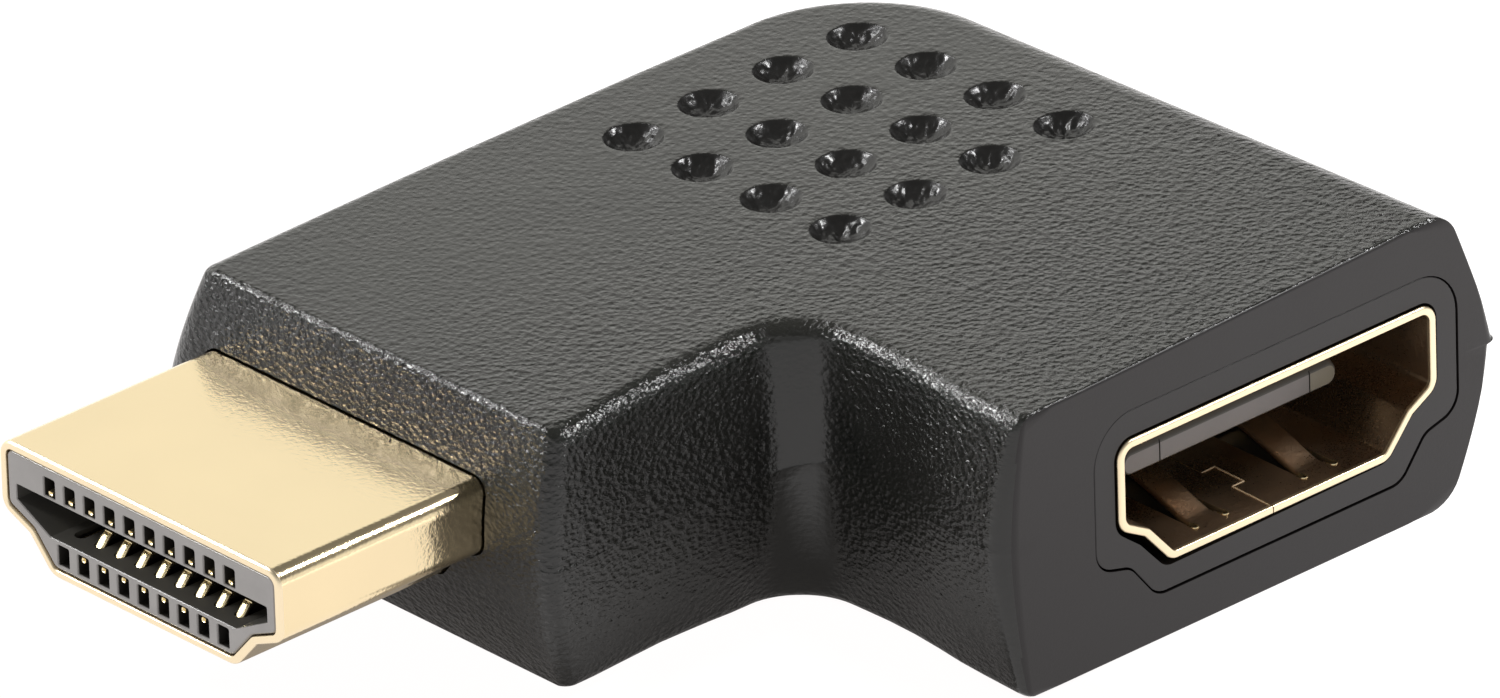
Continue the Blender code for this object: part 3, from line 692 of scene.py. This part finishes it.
def sheet_tube(name, outline, thickness, axis, front_at, back_at, into, r_out, r_in, mats, inside_from=None, steps=4):
    """Folded sheet tube with a rounded front edge.  into is +1 or -1, the way from the front edge to the back."""
    prof = [(thickness, back_at, 0)]
    for k in range(steps + 1):
        a = math.pi / 2 * k / steps
        prof.append((thickness - r_out * (1 - math.cos(a)), front_at + into * r_out * (1 - math.sin(a)), 0 if k == 0 else 1))
    for k in range(steps + 1):
        a = math.pi / 2 * (1 - k / steps)
        prof.append((r_in * (1 - math.cos(a)), front_at + into * r_in * (1 - math.sin(a)), 1))
    if inside_from is not None:
        prof.append((0.0, front_at + into * inside_from, 1))
    prof.append((0.0, back_at, 2))
    rings, mats_k = [], []
    for g, a, m in prof:
        rings.append([axis(p, a) for p in rounded(grown(outline, g), SEG)])
    for k in range(len(prof)):
        mats_k.append(prof[(k + 1) % len(prof)][2] if k + 1 < len(prof) else 2)
    return loft(name, rings, mats, mats_k, loop=True)


# the plug shell's inside takes the darkened gold of painted shade
plug_shell = sheet_tube("plug_shell_formed", PLUG_IN, SHEET, along_y, 0.0, 13.5, 1, 0.15, 0.07, [M_GOLD, M_RIM, M_GOLD_IN_SHADE], 0.5, 6)
weighted(plug_shell)
finish_piece(plug_shell, "gold_shell", "plug_shell")

# =============================================================== plug insulator
ins_out = grown(PLUG_IN, -0.05)
rings = [[along_y(p, 0.06 + d) for p in rounded(grown(ins_out, -g), SEG)] for g, d in ((0.07, 0.0), (0.045, 0.008), (0.02, 0.03), (0.0, 0.07))]
rings.append([along_y(p, 11.2) for p in rounded(ins_out, SEG)])
plug_ins = loft("plug_insulator_moulded", rings, [M_GREY, M_GREY_SHADE])

pocket = [(6.26, 0.70, 0.05), (-6.26, 0.70, 0.05), (-6.26, 0.134, 0.05), (-4.635, -0.70, 0.05), (4.635, -0.70, 0.05), (6.26, 0.134, 0.05)]
mouth = [(0.085, 0.0), (0.075, 0.02), (0.05, 0.045), (0.02, 0.065), (0.0, 0.10)]
# the pocket's inside is painted dark as painted shade, its flared mouth plain grey
tools = [prism("cut_pocket", pocket, along_y, 0.0, 6.6, [M_GREY_SHADE, M_GREY], 2, flare=mouth)]
win_top = lambda x: [(x - 0.35, 0.80, 0.04), (x + 0.19, 0.80, 0.04), (x + 0.19, 1.49, 0.04), (x - 0.35, 1.49, 0.04)]
win_low = lambda x: [(x - 0.275, -1.60, 0.04), (x + 0.275, -1.60, 0.04), (x + 0.275, -0.86, 0.04), (x - 0.275, -0.86, 0.04)]
lip = [(0.05, 0.0), (0.04, 0.065), (0.015, 0.085), (0.0, 0.12)]
TOPS = [-4.5 + i for i in range(10)]
LOWS = [-4.0 + i for i in range(9)]
# the windows' insides take the near-black of painted shade, their lips the plain grey
tools.append(joined("cut_windows_top", [prism("w", win_top(x), along_y, 0.0, 11.6, [M_WINDOW_SHADE, M_GREY], 2, flare=lip) for x in TOPS]))
tools.append(joined("cut_windows_low", [prism("w", win_low(x), along_y, 0.0, 11.6, [M_WINDOW_SHADE, M_GREY], 2, flare=lip) for x in LOWS]))


def round_slot(x, front):
    """Plan of a slot with a round front end, as (x, y) corners."""
    return [(x - 0.25, front, 0.24), (x + 0.25, front, 0.24), (x + 0.25, 6.2, 0), (x - 0.25, 6.2, 0)]


# the slots behind the pocket take the dark grey of painted shade
tools.append(joined("cut_slots_top", [prism("w", round_slot(x, 0.62), along_z, 0.5, 1.0, [M_GREY_SHADE], 6) for x in TOPS]))
tools.append(joined("cut_slots_low", [prism("w", round_slot(x, 0.66), along_z, -1.0, -0.3, [M_GREY_SHADE], 6) for x in LOWS]))
boolean(plug_ins, tools)
weighted(plug_ins, 25)
finish_piece(plug_ins, "insulator", "plug_insulator")


# =============================================================== contacts
def smooth_line(points, per=6):
    """Points along a Catmull-Rom curve through the given ones."""
    pts = [Vector(p) for p in points]
    pts = [pts[0] * 2 - pts[1]] + pts + [pts[-1] * 2 - pts[-2]]
    out = []
    for i in range(1, len(pts) - 2):
        p0, p1, p2, p3 = pts[i - 1:i + 3]
        for k in range(per):
            t = k / per
            out.append(0.5 * (2 * p1 + (p2 - p0) * t + (2 * p0 - 5 * p1 + 4 * p2 - p3) * t * t + (3 * p1 - p0 - 3 * p2 + p3) * t ** 3))
    out.append(pts[-2])
    return out


def ribbon(name, line, half_width, half_thick, to3d, mats, tip_round=4, nose=None):
    """Formed strip with a rounded section; its first end is rounded off like a coined tip.
    nose = (width at the tip as a share, length over which it widens to the full strip)."""
    pts = smooth_line(line)
    r = min(half_thick * 0.75, half_width)
    corners = [(half_width, half_thick, r), (-half_width, half_thick, r), (-half_width, -half_thick, r), (half_width, -half_thick, r)]
    sec = rounded(corners, 3)
    rings = []
    n = len(pts)
    tangents = [(pts[min(i + 1, n - 1)] - pts[max(i - 1, 0)]).normalized() for i in range(n)]
    share = lambda run: 1.0 if nose is None else min(1.0, nose[0] + (1 - nose[0]) * max(0.0, run / nose[1] - 0.35) / 0.65)
    for k in range(tip_round):
        a = math.pi / 2 * k / tip_round
        back = pts[0] + tangents[0] * (half_thick * (1 - math.sin(a)) - half_thick)
        rings.append((back, tangents[0], max(0.15, math.sin(a)) if k else 0.25, share(0)))
    run = 0.0
    for i, (p, t) in enumerate(zip(pts, tangents)):
        run += (p - pts[i - 1]).length if i else 0.0
        rings.append((p, t, 1.0, share(run)))
    out = []
    for p, t, s, wide in rings:
        nrm = Vector((-t.y, t.x))
        out.append([to3d(w * wide * (0.35 + 0.65 * s), p + nrm * (h * s)) for w, h in sec])
    return loft(name, out, mats)


PLUG_TOP = [(0.14, 0.98), (0.42, 1.00), (0.70, 0.97), (1.22, 0.60), (1.65, 0.58), (4.6, 1.04), (6.5, 1.2), (11.5, 1.2), (12.2, 0.70), (13.9, 0.70)]
PLUG_LOW = [(0.18, -1.00), (0.42, -1.03), (0.62, -0.99), (0.76, -0.88), (1.12, -0.48), (1.24, -0.41), (1.60, -0.42), (4.6, -1.04), (6.5, -1.2), (11.5, -1.2), (12.2, -0.70), (13.9, -0.70)]
for i, x in enumerate(TOPS):
    finish_piece(weighted(ribbon(f"plug_contact_upper_{i + 1}", PLUG_TOP, 0.19, 0.085, lambda w, p, x=x: (x + w, p.x, p.y), [M_CONTACT], nose=(0.55, 0.5))),
                 "contact", f"plug_contact_{2 * i + 1:02d}")
for i, x in enumerate(LOWS):
    # the outermost two sit a little further back than the rest, and the first lies lowest in its slot
    line = [(y + (0.45 if i in (0, 8) and y < 0.5 else 0.0), min(z, -1.0) if i == 0 and 0.7 < y < 6 else z) for y, z in PLUG_LOW]
    if i in (0, 8):
        line.pop(1)
    finish_piece(weighted(ribbon(f"plug_contact_lower_{i + 1}", line, 0.19, 0.085, lambda w, p, x=x: (x + w, p.x, p.y), [M_CONTACT], nose=(0.55, 0.4))),
                 "contact", f"plug_contact_{2 * i + 2:02d}")

# =============================================================== socket shell, with its two spring fingers and its seam
# the socket shell's inside takes the darkened gold of painted shade
socket_shell = sheet_tube("socket_shell_formed", SOCKET_IN, SHEET, along_x, RIM_X, RIM_X - 10.2, -1, 0.10, 0.06, [M_GOLD, M_RIM, M_GOLD_IN_SHADE], 0.16)
tools = []
SLOT_IN, SLOT_OUT, FINGER_ROOT = 0.58, 0.80, 0.72
for side in (-2.5, 2.5):
    for s in (-1, 1):
        u0, u1 = sorted((side + s * SLOT_IN, side + s * SLOT_OUT))
        xa, xb = RIM_X - FINGER_ROOT, RIM_X - 2.0
        cut = [(xb, SOCKET_Y + u0, 0), (xa, SOCKET_Y + u0, 0.108), (xa, SOCKET_Y + u1, 0.108), (xb, SOCKET_Y + u1, 0)]
        tools.append(prism("cut_finger_slot", cut, along_z, -2.9, -2.0, [M_RIM], 5))
    win = [(RIM_X - 5.6, SOCKET_Y + side - 0.79, 0), (RIM_X - 1.2, SOCKET_Y + side - 0.79, 0), (RIM_X - 1.2, SOCKET_Y + side + 0.79, 0), (RIM_X - 5.6, SOCKET_Y + side + 0.79, 0)]
    tools.append(prism("cut_finger", win, along_z, -2.9, -2.0, [M_RIM], 1))
boolean(socket_shell, tools)
# the spring fingers are coloured with the darkened gold of painted shade
fingers = []
for side in (-2.5, 2.5):
    line = [(RIM_X - 1.0, -2.43), (RIM_X - 1.25, -2.43), (RIM_X - 1.7, -2.34), (RIM_X - 3.0, -1.88), (RIM_X - 4.0, -1.58), (RIM_X - 4.6, -1.52), (RIM_X - 5.2, -1.64)]
    fingers.append(ribbon("finger", line, SLOT_IN - 0.004, 0.145, lambda w, p, s=side: (p.x, SOCKET_Y + s + w, p.y), [M_GOLD_IN_SHADE]))
boolean(socket_shell, fingers, "UNION")


def burr(points, r=0.032, steps=6, mats=(M_CONTACT,)):
    """Thin raised edge along a path on the socket's floor, as (x, y) points, where the punch pushed the plating up."""
    rings = []
    n = len(points)
    for i, p in enumerate(points):
        t = (Vector(points[min(i + 1, n - 1)]) - Vector(points[max(i - 1, 0)])).normalized()
        side = Vector((-t.y, t.x))
        rr = r * (0.4 if i in (0, n - 1) else 1.0)
        ring = []
        for k in range(steps):
            a = 2 * math.pi * k / steps
            ring.append((p[0] + side.x * rr * math.cos(a), SOCKET_Y + p[1] + side.y * rr * math.cos(a), -2.272 + rr * math.sin(a)))
        rings.append(ring)
    return loft("burr", rings, list(mats))


burrs = []
for side in (-2.5, 2.5):
    for s in (-1, 1):
        mid, r0 = side + s * (SLOT_IN + SLOT_OUT) / 2, (SLOT_OUT - SLOT_IN) / 2 + 0.02
        xc = RIM_X - FINGER_ROOT - 0.10
        path = [(xc - 0.22, mid - r0), (xc - 0.1, mid - r0)]
        path += [(xc + r0 * math.sin(a), mid - r0 * math.cos(a)) for a in [math.pi * k / 8 for k in range(9)]]
        path += [(xc - 0.1, mid + r0), (xc - 0.22, mid + r0)]
        burrs.append(burr(path))
seam_mid = [(RIM_X + 0.3, -0.35), (RIM_X - 1.95, -0.30), (RIM_X - 1.95, 0.24), (RIM_X - 3.5, 0.28), (RIM_X - 3.5, -0.38), (RIM_X - 10.5, -0.38)]


def seam(points, w):
    left, right = [], []
    pts = [Vector(p) for p in points]
    for i, p in enumerate(pts):
        d1 = (p - pts[i - 1]).normalized() if i else (pts[1] - p).normalized()
        d2 = (pts[i + 1] - p).normalized() if i < len(pts) - 1 else d1
        n1, n2 = Vector((-d1.y, d1.x)), Vector((-d2.y, d2.x))
        m = (n1 + n2) / (1 + n1.dot(n2)) * w / 2
        left.append((p.x + m.x, SOCKET_Y + p.y + m.y, 0))
        right.append((p.x - m.x, SOCKET_Y + p.y - m.y, 0))
    return left + right[::-1]


def beside(points, w, lift=0.12):
    """The seam's own line moved sideways by w and cut short of the rim."""
    pts = [Vector(p) for p in points]
    out = []
    for i, p in enumerate(pts):
        d1 = (p - pts[i - 1]).normalized() if i else (pts[1] - p).normalized()
        d2 = (pts[i + 1] - p).normalized() if i < len(pts) - 1 else d1
        n1, n2 = Vector((-d1.y, d1.x)), Vector((-d2.y, d2.x))
        m = (n1 + n2) / (1 + n1.dot(n2)) * w
        out.append(p + m)
    out[0].x = RIM_X - lift
    fine = []
    for a, b in zip(out, out[1:]):
        steps = max(2, int((b - a).length / 0.12))
        fine += [tuple(a + (b - a) * k / steps) for k in range(steps)]
    return fine + [tuple(out[-1])]


boolean(socket_shell, [prism("cut_seam", seam(seam_mid, 0.05), along_z, -2.9, -2.1, [M_RIM], 1)])
burrs.append(burr(beside(seam_mid[:-1], 0.05), 0.028, mats=[M_EDGE]))
boolean(socket_shell, [joined("burrs", burrs)], "UNION")
weighted(socket_shell)
finish_piece(socket_shell, "gold_shell", "socket_shell")

# =============================================================== socket insulator: base and tongue
# the socket insulator's sides and the tongue's sides and chamfer take the dark grey of painted shade; only the tongue's
# front and grooves are plain grey
base = prism("socket_insulator_moulded", grown(SOCKET_IN, -0.05), along_x, RIM_X - 9.0, RIM_X - 7.0, [M_GREY_SHADE, M_TONGUE], aside=False)
tongue = [(4.9, 0.68, 0.5), (-4.9, 0.68, 0.5), (-4.9, -0.42, 0.5), (4.9, -0.42, 0.5)]
rings = [[along_x(p, RIM_X - 7.5) for p in rounded(tongue, 8)]]
for drop_top, g, d in ((0.0, 0.0, 0.36), (0.10, 0.0, 0.22), (0.20, 0.01, 0.09), (0.26, 0.03, 0.03), (0.29, 0.08, 0.0)):
    lowered = [(c[0], c[1] - drop_top if c[1] > 0 else c[1], c[2] - drop_top * 0.4) for c in tongue]
    rings.append([along_x(p, RIM_X - 2.4 - d) for p in rounded(grown(lowered, -g), 8)])
boolean(base, [loft("tongue", rings, [M_GREY_SHADE, M_TONGUE], cap_mats=(0, 1), aside=True)], "UNION")
tools = []
gx = RIM_X - 2.8
for label, ys, z0, z1 in (("top", TOPS, 0.44, 1.1), ("low", LOWS, -0.84, -0.18)):
    cuts = []
    for y in ys:
        rect = [(y - 0.25, z0, 0), (y + 0.25, z0, 0), (y + 0.25, z1, 0), (y - 0.25, z1, 0)]
        cuts.append(prism("g", rect, along_x, RIM_X - 10, gx, [M_TONGUE], 1))
    tools.append(joined("cut_grooves_" + label, cuts))
for u in (-3.22, 3.67):
    rect = [(u - 0.03, -0.9, 0), (u + 0.03, -0.9, 0), (u + 0.03, 1.0, 0), (u - 0.03, 1.0, 0)]
    tools.append(prism("cut_tip_line", rect, along_x, RIM_X - 2.47, RIM_X - 2.0, [M_GREY_SHADE], 1))
boolean(base, tools)
names = [m.name for m in base.data.materials]
base.data.materials.append(M_TONGUE_END)
for f in base.data.polygons:
    at = f.center / MM - SHIFT
    if names[f.material_index] == M_TONGUE.name and at.y > SOCKET_Y + 3.70 and at.x > RIM_X - 2.5:
        f.material_index = len(names)
weighted(base, 28)
finish_piece(base, "insulator", "socket_insulator")

tip, back = gx - 0.06, RIM_X - 9.0
SOCKET_TOP = [(tip, 0.575), (tip - 2, 0.575), (back - 0.1, 0.575), (back - 0.4, 0.70), (9.5, 0.70)]
SOCKET_LOW = [(tip, -0.315), (tip - 2, -0.315), (back + 0.0, -0.315), (back - 0.2, -0.66), (10.8, -0.70), (9.5, -0.70)]
for i, y in enumerate(TOPS):
    finish_piece(weighted(ribbon(f"socket_contact_upper_{i + 1}", SOCKET_TOP, 0.18, 0.07, lambda w, p, y=y: (p.x, SOCKET_Y + y + w, p.y), [M_CONTACT])),
                 "contact", f"socket_contact_{2 * i + 1:02d}")
for i, y in enumerate(LOWS):
    finish_piece(weighted(ribbon(f"socket_contact_lower_{i + 1}", SOCKET_LOW, 0.18, 0.07, lambda w, p, y=y: (p.x, SOCKET_Y + y + w, p.y), [M_CONTACT])),
                 "contact", f"socket_contact_{2 * i + 2:02d}")

# =============================================================== circuit board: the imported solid, with a solder-mask finish
n = Nodes("board_green")
at = n.place()
weave = n.noise(at, 0.35, 2, 0.5)
tracks = n.voronoi(at, 1.1, "F1")
n.out(Base_Color=n.mix(n.span(tracks, 0.25, 0.3, 0, 1), (0.05, 0.25, 0.09), (0.03, 0.16, 0.06)), Roughness=n.span(weave, 0.3, 0.7, 0.25, 0.4),
      Normal=n.bump(weave, 0.01))
board = NODES["circuit_board"]
board.data.materials.clear()
board.data.materials.append(n.m)

# =============================================================== floor, lights, camera
bpy.ops.mesh.primitive_plane_add(size=14, location=(0, 0, -0.0001))
floor = bpy.context.active_object
floor.name = "floor"
# the floor glows instead of being lit, and glows more strongly behind the part than in front: painted light
nf = Nodes("floor_pale")
pf = nf.noise(nf.place(), 40.0, 2, 0.5)
nf.out(Base_Color=nf.mix(pf, (0.045, 0.045, 0.045), (0.055, 0.055, 0.055)), Roughness=0.9, Specular_IOR_Level=0.0,
       Emission_Color=(1.0, 0.975, 0.97, 1),
       Emission_Strength=nf.span(nf.new("ShaderNodeSeparateXYZ", Vector=nf.place()).outputs["Y"], 0.002, 0.024, 1.0, 1.4))
floor.data.materials.append(nf.m)

# grey card on the floor, out of the camera's sight, for the shade between the arms and under the plug
CARD = [(-13.5, 1.5), (5.6, 1.5), (5.6, 6.0), (8.6, 8.8), (13.8, 8.8), (13.8, 14.6), (17.5, 14.6), (20.0, 17.0), (20.0, 22.0), (8.0, 22.0), (8.0, 11.5), (-13.5, 11.5)]
card = new_object("floor_card", [(x, y, -5.36) for x, y in CARD], [tuple(range(len(CARD)))], [])
nc = Nodes("card_grey")
pc = nc.noise(nc.place(), 10.0, 2, 0.5)
spot = nc.new("ShaderNodeSeparateXYZ", Vector=nc.place())
shade = nc.math("MAXIMUM", nc.span(spot.outputs["Y"], (15.4 - 21.25) * MM, (19.2 - 21.25) * MM, 0.0, 1.0),
                nc.span(spot.outputs["X"], (10.4 - 5.36) * MM, (13.0 - 5.36) * MM, 1.0, 0.0))
nc.out(Base_Color=nc.mix(pc, (0.10, 0.10, 0.10), (0.12, 0.12, 0.12)), Roughness=0.9, Specular_IOR_Level=0.0,
       Emission_Color=nc.mix(shade, (1.0, 0.975, 0.97), (0.27, 0.255, 0.25)), Emission_Strength=1.0)
card.data.materials.append(nc.m)
card.visible_camera = False
card.visible_shadow = False


class SkyNodes(Nodes):
    """The same helper for the world's own tree."""

    def __init__(self, name):
        self.world = bpy.data.worlds.new(name)
        self.world.use_nodes = True
        self.t = self.world.node_tree
        self.b = self.t.nodes["Background"]


# pale all round near the floor, one large softbox low behind the part on the left, a weaker one opposite, dim above
ws = SkyNodes("studio")
SCENE.world = ws.world
way = ws.new("ShaderNodeTexCoord").outputs["Generated"]
height = ws.new("ShaderNodeSeparateXYZ", Vector=way).outputs["Z"]


def towards(x, y):
    n = ws.new("ShaderNodeVectorMath")
    n.operation = "DOT_PRODUCT"
    ws.put(way, n.inputs[0])
    n.inputs[1].default_value = (x, y, 0.0)
    return n.outputs["Value"]


low = ws.math("MULTIPLY", ws.span(height, 0.22, 0.42, 0.95, 0.20), ws.span(towards(-0.15, 0.989), 0.70, 0.86, 1.0, 0.25))
under = ws.span(height, 0.62, 0.74, 1.0, 0.0)
lobe = ws.math("MULTIPLY", ws.span(towards(-0.883, -0.469), 0.0, 0.12, 0.0, 1.0), ws.span(towards(-0.342, 0.940), 0.0, 0.15, 0.0, 1.0))
lobe = ws.math("MULTIPLY", lobe, under)
front_lobe = ws.math("MULTIPLY", ws.span(towards(0.747, -0.665), 0.45, 0.62, 0.0, 0.55), under)
ws.put(ws.mix(lobe, (1.0, 1.0, 1.0), (1.0, 0.995, 0.95)), ws.b.inputs["Color"])
ws.put(ws.math("MAXIMUM", ws.math("MAXIMUM", low, lobe), front_lobe), ws.b.inputs["Strength"])


def key(name, way, size, power, reach=0.5):
    """Small lamp that looks at the part from the given direction."""
    data = bpy.data.lights.new(name, "AREA")
    data.shape = "DISK"
    data.size = size
    data.energy = power
    ob = bpy.data.objects.new(name, data)
    SCENE.collection.objects.link(ob)
    d = Vector(way).normalized()
    ob.location = d * reach
    ob.rotation_mode = "QUATERNION"
    ob.rotation_quaternion = d.to_track_quat("Z", "Y")
    ob.visible_camera = False
    return ob


key("left_high", (-0.664, -0.10, 0.735), 0.10, 0.38)
key("back", (0.388, 0.59, 0.708), 0.10, 1.2)
key("left", (-0.664, -0.459, 0.589), 0.10, 1.4)

az, el, roll = math.radians(48.390), math.radians(27.381), math.radians(-1.864)
right0 = Vector((math.cos(az), math.sin(az), 0))
up0 = Vector((-math.sin(az) * math.sin(el), math.cos(az) * math.sin(el), math.cos(el)))
backward = Vector((math.sin(az) * math.cos(el), -math.cos(az) * math.cos(el), math.sin(el)))
right = right0 * math.cos(roll) + up0 * math.sin(roll)
up = backward.cross(right)
cam_data = bpy.data.cameras.new("camera")
cam = bpy.data.objects.new("camera", cam_data)
SCENE.collection.objects.link(cam)
cam.matrix_world = Matrix.Translation(Vector((581.55, -517.58, 409.99)) * MM) @ Matrix((right, up, backward)).transposed().to_4x4()
cam_data.sensor_fit = "HORIZONTAL"
cam_data.sensor_width = 36
cam_data.lens = 26256.15 / 1500 * 36
cam_data.shift_x = (750 - 697.8) / 1500
cam_data.shift_y = (369.15 - 349) / 1500
cam_data.clip_start, cam_data.clip_end = 0.05, 50
SCENE.camera = cam

SCENE.view_settings.view_transform = "Standard"
SCENE.view_settings.look = "None"
SCENE.view_settings.exposure = 0.0
SCENE.view_settings.gamma = 1.0
